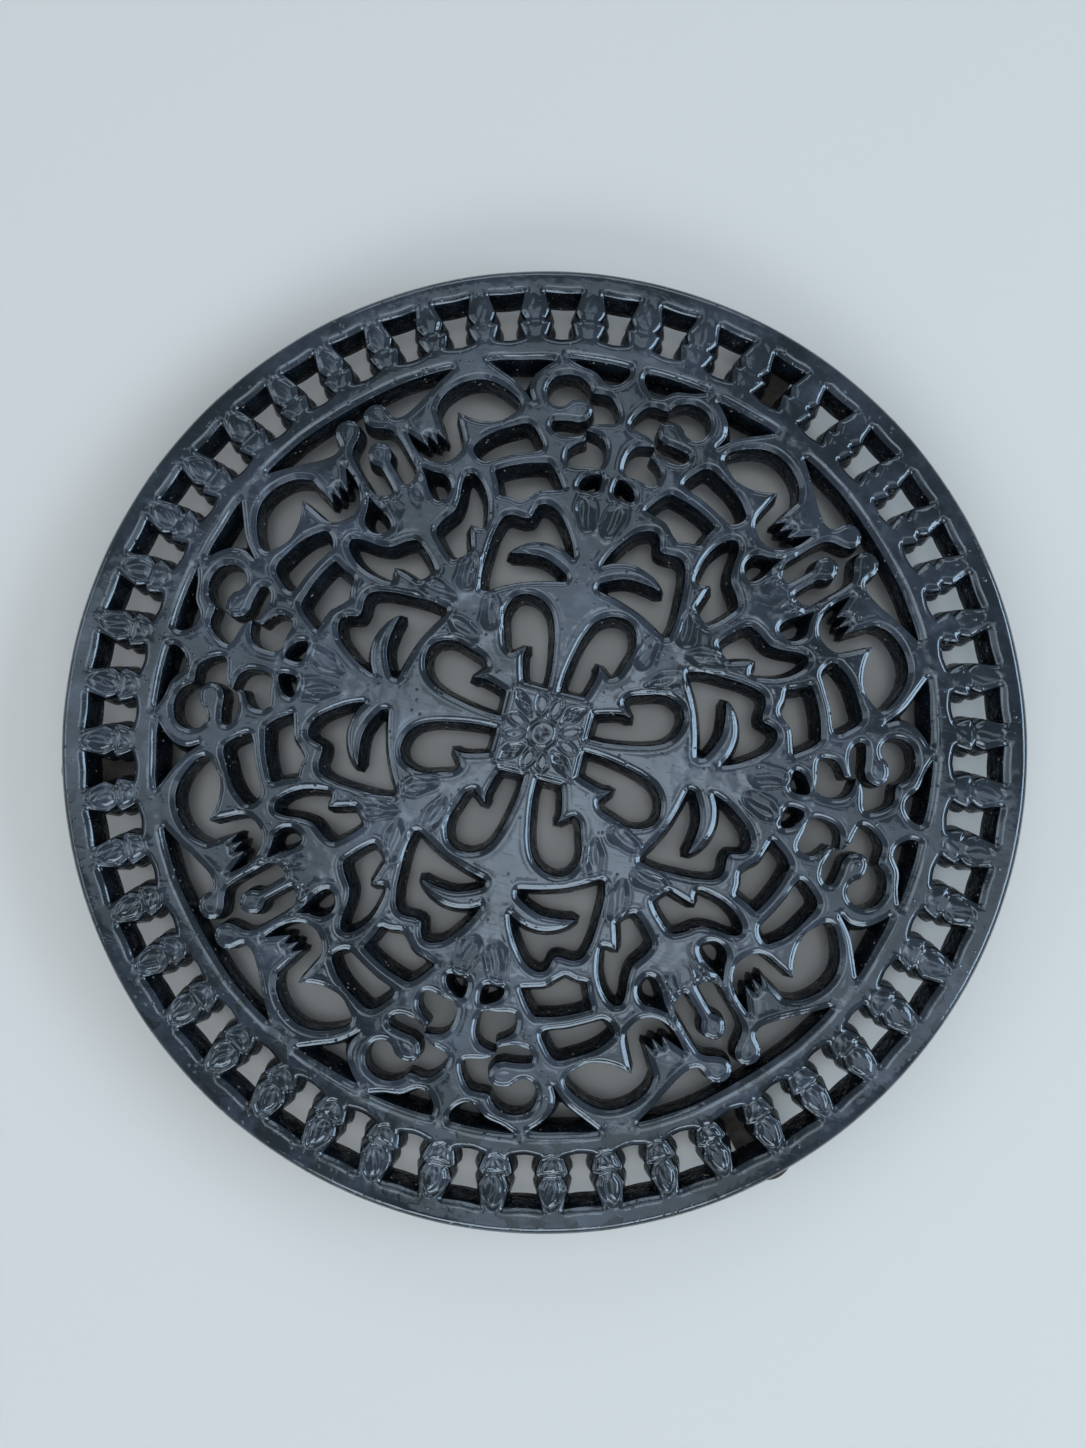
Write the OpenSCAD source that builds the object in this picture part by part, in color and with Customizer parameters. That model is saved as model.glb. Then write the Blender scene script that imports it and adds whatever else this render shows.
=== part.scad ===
// Round cast-iron trivet: a pierced plate with an eightfold scroll pattern and a band of small windows,
// standing on three rubber boots that are pressed over lugs under its rim.
// The origin is on the table, under the middle of the plate. Lengths are in millimetres.

/* [Plate] */
// Diameter of the plate
plate_d = 230; // [170:5:300]
// Thickness of the plate
plate_t = 8; // [6:0.5:12]
// Radius that rounds the upper and lower edges of the rim
rim_round = 2; // [1:0.25:2.5]

/* [Border] */
// Number of windows in the border
window_count = 48; // [44:4:52]
// How far the windows stray from an even spacing, in degrees
window_wander = 0.5; // [0:0.1:0.6]

/* [Relief] */
// Depth of the leaves and buds that are sunk in the top
relief_depth = 0.8; // [0.4:0.1:1.5]
// Width of the groove that outlines a leaf of the border
leaf_groove = 0.7; // [0.4:0.1:1]
// Width of the groove round the button in the middle
button_groove = 0.6; // [0.4:0.1:0.8]

/* [Curves] */
// Turn of an outline from one flat to the next, in degrees
facet_turn = 22; // [15:1:30]

/* [Feet] */
// Height of the plate above the table
stand_h = 8; // [6:0.5:14]
// Width of a boot
boot_w = 12; // [10:0.5:14]
// Length of a boot, along the radius
boot_l = 22; // [20:0.5:28]
// How far a boot's toe reaches past the rim
toe_reach = 3; // [1:0.25:5]
// Thickness of a boot's wall at the ends of its lug
boot_wall = 1.6; // [1.2:0.1:2.4]
// Thickness of a lug, along the radius
lug_t = 2.6; // [2:0.1:3]
// Thickness of a boot's sole
sole_t = 3; // [2:0.25:4]
// Radius that rounds the sole's edge
sole_round = 1.5; // [0.5:0.25:2]
// Clearance between a lug and its boot
boot_clear = 0.1; // [0.05:0.05:0.3]

/* [Hidden] */
$fn = 96;
plate_r = plate_d / 2;
top_z = stand_h + plate_t;
// Overrun that takes a cut clear of a face
over = 1;
// Bearings of the three feet, in degrees
foot_bearings = [-47, 73, 199];
boot_mid_r = plate_r + toe_reach - boot_l / 2;
// Distance that a lug keeps from the rim's rounding
lug_inset = 0.8;
lug_w = boot_w - 2 * (boot_wall + boot_clear);
lug_mid_r = plate_r - rim_round - lug_inset - lug_t / 2;

// Each outline runs round one opening, in shares of the plate's radius, with x on an axis of the pattern that
// passes between two petals. A point with a third number is a corner, and the others lie on smooth curves.
petal_shares = [
    [0.075, 0.056, 1], [0.113, 0.020, 1], [0.140, 0.034], [0.165, 0.051], [0.174, 0.065, 1],
    [0.178, 0.028, 1], [0.195, 0.025], [0.224, 0.038], [0.258, 0.058], [0.272, 0.078], [0.277, 0.100],
    [0.267, 0.124], [0.243, 0.141], [0.212, 0.145], [0.180, 0.134], [0.145, 0.113], [0.105, 0.084]
];
wing_shares = [
    [0.250, 0.203, 1], [0.276, 0.161], [0.297, 0.119], [0.311, 0.076], [0.316, 0.054], [0.328, 0.041],
    [0.354, 0.059], [0.388, 0.092], [0.421, 0.130], [0.436, 0.158], [0.432, 0.178], [0.411, 0.199],
    [0.406, 0.208, 1], [0.419, 0.229], [0.420, 0.243], [0.410, 0.256], [0.385, 0.265], [0.350, 0.263],
    [0.310, 0.254], [0.283, 0.242, 1], [0.311, 0.233], [0.345, 0.207], [0.362, 0.175], [0.366, 0.147],
    [0.363, 0.134, 1], [0.345, 0.161], [0.319, 0.189], [0.290, 0.204], [0.262, 0.212]
];
shoe_shares = [
    [0.411, 0.021, 1], [0.430, 0.018], [0.470, 0.019], [0.488, 0.025], [0.495, 0.045], [0.501, 0.077],
    [0.516, 0.097], [0.542, 0.119], [0.556, 0.138], [0.548, 0.153], [0.520, 0.157], [0.485, 0.149],
    [0.450, 0.128], [0.436, 0.110], [0.458, 0.092, 1], [0.432, 0.077], [0.410, 0.066], [0.407, 0.040]
];
block_shares = [
    [0.424, 0.298, 1], [0.470, 0.304], [0.490, 0.301, 1], [0.512, 0.262], [0.527, 0.222], [0.534, 0.193, 1],
    [0.505, 0.185], [0.482, 0.175, 1], [0.466, 0.193], [0.447, 0.207], [0.446, 0.235], [0.447, 0.252],
    [0.436, 0.275]
];
slot_shares = [
    [0.522, 0.302], [0.530, 0.310], [0.556, 0.313], [0.584, 0.309], [0.595, 0.285], [0.605, 0.245],
    [0.607, 0.210], [0.602, 0.181], [0.582, 0.175], [0.560, 0.185], [0.552, 0.215], [0.540, 0.255]
];
crest_shares = [
    [0.620, 0.285], [0.624, 0.308], [0.640, 0.315], [0.668, 0.307], [0.700, 0.290], [0.720, 0.269],
    [0.732, 0.238], [0.734, 0.205], [0.727, 0.175], [0.710, 0.151, 1], [0.680, 0.145], [0.662, 0.140],
    [0.643, 0.137, 1], [0.668, 0.127, 1], [0.643, 0.118, 1], [0.672, 0.108, 1], [0.650, 0.098, 1],
    [0.700, 0.075, 1], [0.665, 0.072], [0.640, 0.076], [0.618, 0.088], [0.604, 0.105], [0.600, 0.125],
    [0.604, 0.148], [0.616, 0.165], [0.650, 0.178], [0.684, 0.189, 1], [0.656, 0.208], [0.634, 0.232],
    [0.621, 0.258]
];
eye_shares = [
    [0.536, 0.058], [0.535, 0.075], [0.543, 0.092], [0.560, 0.100], [0.580, 0.097], [0.598, 0.080],
    [0.620, 0.063, 1], [0.595, 0.060], [0.570, 0.053], [0.550, 0.052]
];
bean_shares = [
    [0.383, 0.357], [0.395, 0.375], [0.412, 0.383], [0.421, 0.366], [0.424, 0.347], [0.412, 0.327],
    [0.397, 0.338]
];
curl_shares = [
    [0.426, 0.385], [0.438, 0.407], [0.460, 0.423], [0.482, 0.424], [0.501, 0.413], [0.516, 0.399, 1],
    [0.502, 0.398], [0.491, 0.391, 1], [0.495, 0.375], [0.494, 0.352], [0.482, 0.339], [0.465, 0.333],
    [0.452, 0.347], [0.440, 0.366]
];
slant_shares = [
    [0.505, 0.392], [0.514, 0.372], [0.530, 0.351], [0.548, 0.343], [0.563, 0.350], [0.560, 0.363],
    [0.545, 0.386], [0.533, 0.401], [0.528, 0.416], [0.516, 0.418], [0.511, 0.404]
];
comma_shares = [
    [0.491, 0.465], [0.495, 0.476], [0.509, 0.483], [0.528, 0.487], [0.545, 0.486], [0.557, 0.479],
    [0.566, 0.467], [0.576, 0.457], [0.588, 0.460], [0.604, 0.458], [0.621, 0.450], [0.633, 0.438],
    [0.640, 0.424], [0.644, 0.410], [0.641, 0.393], [0.633, 0.381], [0.621, 0.373], [0.607, 0.369],
    [0.592, 0.373], [0.584, 0.381], [0.580, 0.393], [0.582, 0.410], [0.579, 0.421], [0.573, 0.431],
    [0.564, 0.439], [0.552, 0.443], [0.540, 0.439], [0.533, 0.429], [0.530, 0.419], [0.521, 0.410],
    [0.514, 0.414], [0.509, 0.433], [0.500, 0.448]
];
shell_shares = [
    [0.620, 0.338, 1], [0.650, 0.347], [0.668, 0.367], [0.675, 0.393], [0.676, 0.425, 1], [0.692, 0.403],
    [0.714, 0.364], [0.735, 0.329], [0.748, 0.301, 1], [0.715, 0.315], [0.672, 0.332]
];
sail_shares = [
    [0.568, 0.545], [0.580, 0.552], [0.604, 0.529], [0.637, 0.491], [0.668, 0.451, 1], [0.640, 0.465],
    [0.610, 0.486], [0.575, 0.494], [0.563, 0.512], [0.563, 0.532]
];
// Half of the outline on the axis itself: a crescent along the border, a ball, and a throat round a pin
keyhole_shares = [
    [0.803, 0], [0.800, 0.060], [0.797, 0.120], [0.790, 0.157], [0.779, 0.204], [0.771, 0.228, 1],
    [0.760, 0.185], [0.749, 0.150], [0.738, 0.111], [0.734, 0.085], [0.741, 0.066], [0.752, 0.0625],
    [0.770, 0.061], [0.783, 0.052], [0.788, 0.035], [0.784, 0.018], [0.770, 0.008], [0.757, 0.009],
    [0.748, 0.014], [0.738, 0.026], [0.729, 0.040], [0.717, 0.0495], [0.698, 0.053], [0.645, 0.053],
    [0.619, 0.052], [0.607, 0.042], [0.599, 0.026], [0.601, 0.012, 1], [0.640, 0.011], [0.662, 0.012],
    [0.672, 0.020], [0.688, 0.025], [0.705, 0.016], [0.712, 0]
];
// Half of a window of the border: share of the spacing across, and share of the radius out
window_shares = [
    [0, 0.947], [0.300, 0.949, 1], [0.262, 0.930], [0.205, 0.910], [0.285, 0.889, 1], [0.165, 0.884, 1],
    [0.245, 0.850, 1], [0, 0.845]
];

// Leaves sunk in the top, each as middle x and y, length, width in shares of the radius, and its turn
leaf_places_shares = [
    [0.272, 0.033, 0.050, 0.020], [0.372, 0.035, 0.060, 0.028], [0.356, 0.312, 0.070, 0.028]
];
leaf_turns = [25, 40, 30];
// Leaf and bud of the border, each as distance out, length and width in shares of the radius
rib_leaf_shares = [0.917, 0.058, 0.038];
rib_bud_shares = [0.869, 0.046, 0.025];
// Flower in the middle: radius of its button, then the nearest and farthest point, as shares of the radius, and
// the width, as a share of the length, of its four petals and of its eight lobes
button_share = 0.027;
flower_petal_shares = [0.0395, 0.1025, 0.33];
flower_lobe_shares = [0.037, 0.076, 0.42];
// Turn of a lobe away from the middle of its side, in degrees
lobe_turn = 14;
// Slow drift of the windows: weight, waves round the border, and phase in degrees
drift_waves = [[1, 1, 145], [1, 2, -175], [1.2, 4, -42]];

// Point i of an outline, counted round
function spot(p, i) = let (q = p[(i + len(p)) % len(p)]) [q[0], q[1]];

// Whether point i is a corner
function sharp(p, i) = len(p[(i + len(p)) % len(p)]) > 2;

// Direction of a vector
function way(v) = v / norm(v);

// Point at share s of the curve from a to b that leaves along m and arrives along n
function glide(a, b, m, n, s) =
    a * (1 - s) * (1 - s) * (1 + 2 * s) + b * s * s * (3 - 2 * s)
    + (m * s * (1 - s) * (1 - s) - n * s * s * (1 - s)) * norm(b - a);

// Angle between two directions
function turn(m, n) = acos(max(-1, min(1, m * n)));

// Closed outline through points p
function curved(p) = [
    for (i = [0 : len(p) - 1])
        let (
            a = spot(p, i),
            b = spot(p, i + 1),
            m = sharp(p, i) ? way(b - a) : way(b - spot(p, i - 1)),
            n = sharp(p, i + 1) ? way(b - a) : way(spot(p, i + 2) - a),
            flats = max(1, round((turn(m, way(b - a)) + turn(way(b - a), n)) / facet_turn))
        )
        for (s = [0 : flats - 1])
            glide(a, b, m, n, s / flats)
];

// Half an outline whose ends lie on the x axis, made whole with its mirror image
function both_sides(p) = concat(
    p,
    [for (i = [len(p) - 2 : -1 : 1]) len(p[i]) > 2 ? [p[i][0], -p[i][1], 1] : [p[i][0], -p[i][1]]]
);

// Sum of a list
function sum(v, i = 0) = i < len(v) ? v[i] + sum(v, i + 1) : 0;

// Bearing of window k, with the slow drift of a border laid out by hand
function window_bearing(k) =
    let (even = 45 + 360 * (k + 0.5) / window_count)
    even + window_wander * sum([for (q = drift_waves) q[0] * cos(q[1] * even + q[2])]);

// Children repeated on the four axes between the petals
module fourfold() {
    for (k = [0 : 3])
        rotate(90 * k + 45)
            children();
}

// Children repeated on both sides of those axes
module eightfold() {
    fourfold() {
        children();
        mirror([0, 1, 0])
            children();
    }
}

// Opening through the whole plate
module piercing(shares) {
    translate([0, 0, stand_h - over])
        linear_extrude(plate_t + 2 * over)
            polygon(plate_r * curved(shares));
}

// Sunk area: everything above the floor of the relief
module sunk(depth = relief_depth) {
    translate([0, 0, top_z - depth])
        linear_extrude(depth + over)
            children();
}

// Pointed leaf along x between two arcs
module leaf(l, w) {
    r = (l * l / 4 + w * w / 4) / w;
    intersection() {
        translate([0, r - w / 2])
            circle(r);
        translate([0, w / 2 - r])
            circle(r);
    }
}

// Disc with a rounded rim
module disc() {
    translate([0, 0, stand_h])
        rotate_extrude() {
            square([plate_r - rim_round, plate_t]);
            translate([0, rim_round])
                square([plate_r, plate_t - 2 * rim_round]);
            translate([plate_r - rim_round, rim_round])
                circle(rim_round);
            translate([plate_r - rim_round, plate_t - rim_round])
                circle(rim_round);
        }
}

// The pattern's openings
module openwork() {
    eightfold() {
        piercing(petal_shares);
        piercing(wing_shares);
        piercing(shoe_shares);
        piercing(block_shares);
        piercing(slot_shares);
        piercing(crest_shares);
        piercing(eye_shares);
        piercing(bean_shares);
        piercing(curl_shares);
        piercing(slant_shares);
        piercing(comma_shares);
        piercing(shell_shares);
        piercing(sail_shares);
    }
    fourfold()
        piercing(both_sides(keyhole_shares));
}

// The border's windows, each narrowed to its share of the ring
module windows() {
    pitch = 360 * PI * plate_r / 180 / window_count;
    half = [for (q = window_shares) len(q) > 2 ? [q[1] * plate_r, q[0] * pitch, 1] : [q[1] * plate_r, q[0] * pitch]];
    for (k = [0 : window_count - 1])
        rotate(window_bearing(k))
            translate([0, 0, stand_h - over])
                linear_extrude(plate_t + 2 * over)
                    polygon(curved(both_sides(half)));
}

// Leaf outlined by a groove and a bud inside it, on each rib between two windows
module border_relief() {
    leaf_at = plate_r * rib_leaf_shares;
    bud_at = plate_r * rib_bud_shares;
    for (k = [0 : window_count - 1])
        rotate((window_bearing(k) + window_bearing(k + 1)) / 2) {
            translate([leaf_at[0], 0, 0])
                sunk()
                    difference() {
                        leaf(leaf_at[1], leaf_at[2]);
                        leaf(leaf_at[1] - 4 * leaf_groove, leaf_at[2] - 2 * leaf_groove);
                    }
            translate([bud_at[0], 0, 0])
                rotate(90)
                    sunk()
                        leaf(bud_at[1], bud_at[2]);
        }
}

// Sunk leaf along x from the first to the second of three shares, with the third as its slimness
module sunk_petal(shares) {
    near = plate_r * shares[0];
    far = plate_r * shares[1];
    translate([(near + far) / 2, 0, 0])
        sunk()
            leaf(far - near, shares[2] * (far - near));
}

// Leaves beside the axes, and the flower with its button in the middle
module field_relief() {
    eightfold()
        for (i = [0 : len(leaf_turns) - 1])
            let (q = plate_r * leaf_places_shares[i])
            translate([q[0], q[1], 0])
                rotate(leaf_turns[i])
                    sunk()
                        leaf(q[2], q[3]);
    sunk()
        difference() {
            circle(plate_r * button_share + button_groove);
            circle(plate_r * button_share);
        }
    fourfold() {
        sunk_petal(flower_petal_shares);
        for (side = [-1, 1])
            rotate(45 + side * lobe_turn)
                sunk_petal(flower_lobe_shares);
    }
}

// Bar with half-round ends and a rounded lower edge, lying along x
module stadium(l, w, h, edge) {
    straight = l - w;
    module half_section() {
        square([w / 2 - edge, h]);
        translate([0, edge])
            square([w / 2, h - edge]);
        translate([w / 2 - edge, edge])
            circle(edge);
    }
    for (end = [-1, 1])
        translate([end * straight / 2, 0, 0])
            rotate_extrude()
                half_section();
    translate([-straight / 2, 0, 0])
        rotate([90, 0, 90])
            linear_extrude(straight) {
                half_section();
                mirror([1, 0])
                    half_section();
            }
}

// Plain bar with half-round ends
module peg(l, w, h) {
    linear_extrude(h) {
        square([l - w, w], center = true);
        for (end = [-1, 1])
            translate([end * (l - w) / 2, 0])
                circle(d = w);
    }
}

// Lug across the radius, widened by a clearance on every side where it stands for the slot in its boot
module lug(clear, h) {
    translate([lug_mid_r, 0, sole_t])
        rotate(90)
            peg(lug_w + 2 * clear, lug_t + 2 * clear, h);
}

// One iron casting: the pierced plate with the lugs that carry the boots
module casting() {
    color([0.10, 0.11, 0.12]) {
        difference() {
            disc();
            openwork();
            windows();
            border_relief();
            field_relief();
        }
        for (bearing = foot_bearings)
            rotate(bearing)
                lug(0, stand_h - sole_t);
    }
}

// Rubber boot that closes round a lug and stands on the table
module rubber_foot(bearing) {
    color([0.07, 0.05, 0.04])
        rotate(bearing)
            difference() {
                translate([boot_mid_r, 0, 0])
                    stadium(boot_l, boot_w, stand_h, sole_round);
                lug(boot_clear, stand_h);
            }
}

casting();
rubber_foot(foot_bearings[0]);  // rubber_foot_1
rubber_foot(foot_bearings[1]);  // rubber_foot_2
rubber_foot(foot_bearings[2]);  // rubber_foot_3
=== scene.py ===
# Round pierced trivet of black enamelled iron on three rubber boots.
# The plate is dressed over its solid: rolled edges, tapered openings and carved leaves.
import math

import bpy
import numpy as np
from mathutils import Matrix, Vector, kdtree
from mathutils.geometry import delaunay_2d_cdt


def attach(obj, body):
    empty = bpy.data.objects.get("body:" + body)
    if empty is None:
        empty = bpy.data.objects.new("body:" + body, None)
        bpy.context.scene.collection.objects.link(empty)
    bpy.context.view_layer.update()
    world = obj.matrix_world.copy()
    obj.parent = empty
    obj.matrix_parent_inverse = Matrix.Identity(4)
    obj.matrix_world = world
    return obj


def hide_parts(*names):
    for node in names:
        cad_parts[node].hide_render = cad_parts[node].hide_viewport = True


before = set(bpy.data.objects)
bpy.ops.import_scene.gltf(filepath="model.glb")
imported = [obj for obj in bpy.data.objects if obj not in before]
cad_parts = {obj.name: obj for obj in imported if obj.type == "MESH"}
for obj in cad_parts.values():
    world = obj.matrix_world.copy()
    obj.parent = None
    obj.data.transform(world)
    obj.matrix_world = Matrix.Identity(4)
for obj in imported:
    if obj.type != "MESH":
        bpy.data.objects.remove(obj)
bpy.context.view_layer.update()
print("solids loaded")


# camera: straight down, a little from the near side
camera = {
    "lens": 26.85,
    "sensor": 36,
    "clipStart": 0.01,
    "place": (0.00816, -0.01896, 0.2709),
    "turn": (4.74, 1.91, 14.76),  # degrees, applied z first
}

cameraData = bpy.data.cameras.new("photoCamera")
cameraData.lens = camera["lens"]
cameraData.sensor_width = camera["sensor"]
cameraData.clip_start = camera["clipStart"]
cameraObject = bpy.data.objects.new("photoCamera", cameraData)
cameraObject.location = camera["place"]
cameraObject.rotation_mode = "ZYX"
cameraObject.rotation_euler = [math.radians(a) for a in camera["turn"]]
bpy.context.scene.collection.objects.link(cameraObject)
bpy.context.scene.camera = cameraObject
print("camera set")


# iron plate, in millimetres and degrees
plate = {
    "topZ": 16.0,
    "underZ": 8.0,
    "radius": 115.0,
    "rimRound": 2.0,
    "rimStep": 1.0,
    "shoulderAngles": (18, 36, 54, 72, 90),
    "lowerAngles": (22, 45, 68, 90),
    "rimInset": 0.02,
    "rimWander": (0.05, 30, 5),  # depth, size and seed of the unevenness
    "rimDip": (0.05, 23, 1),
    "rimClearance": 0.4,
    "rimZone": 5,  # rings this near the radius are the rim itself
    "windowsFrom": 96,  # openings beyond this distance are the border's windows
    "shortest": 0.08,  # shorter flats of the solid are left out
    "cornerTurn": 38.0,  # sharper turns stay corners
    "curveStep": 0.2,
    "easing": 0.15,
    "loopStep": 0.5,  # along the edge of an opening
    "gridStep": 1.0,  # between points on plain metal
    "fineStep": 0.3,  # between points on carved metal
    "underStep": 3.0,
    "measureStep": 0.3,
    "clearance": 0.35,  # from a row along an edge to the grid
    "edgeRings": (0.12, 0.4, 0.75, 1.1, 1.45, 1.8, 2.1, 2.4),  # distances of the rows along an edge
    "ownShare": 0.93,  # a row stops where any edge is nearer than this share of its distance
    "edgeRoll": 1.75,  # how far from an opening the enamel starts to roll over
    "edgeDrop": 1.0,
    "tapers": (1.6, 1.35, 1.1, 0.9, 0.7, 0.5, 0.35, 0.2, 0.1),  # loss on each side, tried in turn
    "cornerGap": 0.9,  # widest jump that a taper may leave at a corner
    "wallRows": 4,
    "underRoll": 0.3,
    "underMargin": 4,
    "underClearance": 0.8,
}

relief = {
    "fieldSink": 0.22,  # openwork below the rim and the middle square
    "squareHalf": 9.6,
    "squareEase": (-0.45, 0.5),
    "rimLine": 93.4,
    "rimEase": 0.5,
    "rimGroove": (0.07, 0.55, 0.25),  # depth, distance past the line, half width
    "lip": (0.09, 1.95, 0.32),  # fine groove round an opening: depth, distance, half width
    "lipEnd": (92, 94),
    "lipShare": (0.8, 0.4, 19, 6),  # mean, swing, size and seed
    "ribZone": (95.5, 111.5, 3.9),  # from, to, and degrees to each side
    "ribPoints": (97, 110),
    "crisp": (0.52, 0.38, 110),  # depth of the carving: mean, swing, turn
    "leaf": {
        "out": 105.3,
        "length": 7.8,
        "width": 4.9,
        "blunt": 102.2,
        "groove": (0.30, 0.55),  # depth, half width
        "crown": (0.40, -0.8, 2.1),  # depth, start, reach
        "fold": (0.26, 0.5, 1.1),  # depth, half width, reach
    },
    "cup": {
        "out": 101.4,
        "deep": 3.9,
        "half": 2.7,
        "groove": (0.28, 0.5),
        "crown": (0.32, -0.7, 1.8),
        "fold": (0.16, 0.45, 1.0),
    },
    # distance along a diagonal, distance beside it, length, width, turn
    "dents": ((31.3, 3.9, 8.0, 3.6, 25), (42.8, 4.4, 9.0, 4.2, 40), (40.9, 35.9, 9.0, 4.4, 30)),
    "dentDepth": 0.34,
    "scratches": ((66.7, 3.5, 5.6, 2.0, 8), (70.5, 6.2, 4.8, 1.8, 20)),
    "scratchDepth": 0.30,
    "ridges": 0.3,
    "brim": (0.15, 0.55, 0.36),  # height, distance, half width
    "flowerZone": 16,
    "flowerPoints": 14.5,
    "flowerWander": 0.3,
    "button": (3.0, 0.48, 0.42),  # radius, and depth and half width of its groove
    "dimple": (0.30, 1.2),
    "petal": (8.5, 8.2, 3.5),  # distance of the middle, length, width
    "petalDepth": 0.62,
    "petalBrim": (0.1, 0.4, 0.3),
    "lobe": (6.8, 5.3, 2.8, 15),  # distance of the middle, length, width, turn
    "lobeGroove": (0.42, 0.38),
    "lobeSink": 0.16,
    "unevenness": ((0.035, 23, 1), (0.016, 6, 2)),  # depth, size, seed
    "edgeEase": 0.5,  # the relief starts this far from an opening
    "least": 0.01,
}

milli = 0.001  # micrometres to millimetres, millimetres to metres
rowShare = 0.866  # height of a triangle with three sides of 1
tiny = 1e-9


def welded(mesh):  # places in micrometres, and triangles as numbers of places
    co = np.empty(len(mesh.vertices) * 3)
    mesh.vertices.foreach_get("co", co)
    key = np.round(co.reshape(-1, 3) * 1e6).astype(np.int64)
    spots, where = np.unique(key, axis=0, return_inverse=True)
    mesh.calc_loop_triangles()
    tri = np.empty(len(mesh.loop_triangles) * 3, dtype=np.int32)
    mesh.loop_triangles.foreach_get("vertices", tri)
    return spots, where.reshape(-1)[tri].reshape(-1, 3)


def openEdges(tri):  # edges with a triangle on one side only
    used = set()
    for a, b, c in tri.tolist():
        if a != b and b != c and c != a:
            used.update(((a, b), (b, c), (c, a)))
    return [(a, b) for a, b in used if (b, a) not in used]


def chained(edges):  # edges joined into rings
    ahead = {}
    for a, b in edges:
        ahead.setdefault(a, []).append(b)
    rings = []
    while ahead:
        start = min(ahead)
        ring = [start]
        here = start
        while here in ahead:
            after = ahead[here].pop()
            if not ahead[here]:
                del ahead[here]
            if after == start:
                break
            ring.append(after)
            here = after
        rings.append(ring)
    return rings


def area(p):
    q = np.roll(p, -1, axis=0)
    return 0.5 * float((p[:, 0] * q[:, 1] - p[:, 1] * q[:, 0]).sum())


def unit(v):
    return v / np.maximum(np.linalg.norm(v, axis=-1, keepdims=True), tiny)


def steps(p, step, fewest=1):  # an open line with equal steps, without its last point
    run = np.concatenate([[0], np.cumsum(np.linalg.norm(np.diff(p, axis=0), axis=1))])
    n = max(fewest, int(round(run[-1] / step)))
    at = np.arange(n) * run[-1] / n
    return np.column_stack([np.interp(at, run, p[:, 0]), np.interp(at, run, p[:, 1])])


def evenly(p, step):  # a closed line with equal steps
    return steps(np.vstack([p, p[:1]]), step, 12)


def smoothRing(p):  # the solid's flats turned back into curves, with eased corners
    p = p[np.linalg.norm(p - np.roll(p, 1, axis=0), axis=1) > plate["shortest"]]
    ahead = unit(np.roll(p, -1, axis=0) - p)
    back = np.roll(ahead, 1, axis=0)
    turn = np.degrees(np.arccos(np.clip((ahead * back).sum(axis=1), -1, 1)))
    corner = turn > plate["cornerTurn"]
    along = unit(ahead + back)
    first = int(np.argmax(corner))
    made, run = [], []
    for k in range(len(p)):
        i, j = (first + k) % len(p), (first + k + 1) % len(p)
        m = ahead[i] if corner[i] else along[i]
        n = ahead[i] if corner[j] else along[j]
        span = np.linalg.norm(p[j] - p[i])
        count = max(1, int(math.ceil(span / plate["curveStep"])))
        s = (np.arange(count) / count)[:, None]
        run.append(
            p[i] * (1 - s) ** 2 * (1 + 2 * s)
            + p[j] * s**2 * (3 - 2 * s)
            + (m * s * (1 - s) ** 2 - n * s**2 * (1 - s)) * span
        )
        if corner[j] or j == first:
            made.append(steps(np.vstack(run + [p[j : j + 1]]), plate["loopStep"]))
            run = []
    p = np.vstack(made)
    share = plate["easing"]
    return (1 - 2 * share) * p + share * (np.roll(p, 1, axis=0) + np.roll(p, -1, axis=0))


def inwards(p):  # unit vectors into the opening, for a ring that runs counterclockwise
    t = unit(np.roll(p, -1, axis=0) - np.roll(p, 1, axis=0))
    return np.column_stack([-t[:, 1], t[:, 0]])


def circleSizes(p, n):  # radius of the largest circle in the opening that touches it at each point
    d = p[None, :, :] - p[:, None, :]
    reach = (d * n[:, None, :]).sum(axis=2)
    size = (d * d).sum(axis=2) / (2 * np.maximum(reach, tiny))
    size[reach < 1e-6] = np.inf
    return size.min(axis=1)


def narrowed(p, n, circles, amount):  # ring moved into the opening, and its widest bridged gap
    kept = np.where(circles > amount)[0]
    if len(kept) < 8:
        return None, np.inf
    count = len(p)
    q = p + n * amount
    ends = np.roll(kept, -1)
    jumps = (ends - kept) % count > 1
    gap = np.linalg.norm(q[ends[jumps]] - q[kept[jumps]], axis=1).max() if jumps.any() else 0
    at = np.concatenate([kept - count, kept, kept + count])
    x, y = [np.interp(np.arange(count), at, np.tile(q[kept, c], 3)) for c in (0, 1)]
    return np.column_stack([x, y]), gap


def insideRing(points, ring):  # numbers of the points in a ring
    low, high = ring.min(axis=0), ring.max(axis=0)
    near = np.where(((points > low) & (points < high)).all(axis=1))[0]
    if len(near) == 0:
        return near
    q = points[near]
    a, b = ring, np.roll(ring, -1, axis=0)
    above = (a[None, :, 1] > q[:, None, 1]) != (b[None, :, 1] > q[:, None, 1])
    rise = np.where(np.abs(b[:, 1] - a[:, 1]) < 1e-12, 1e-12, b[:, 1] - a[:, 1])
    x = a[None, :, 0] + (q[:, None, 1] - a[None, :, 1]) * ((b[:, 0] - a[:, 0]) / rise)[None, :]
    return near[(above & (q[:, None, 0] < x)).sum(axis=1) % 2 == 1]


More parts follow.
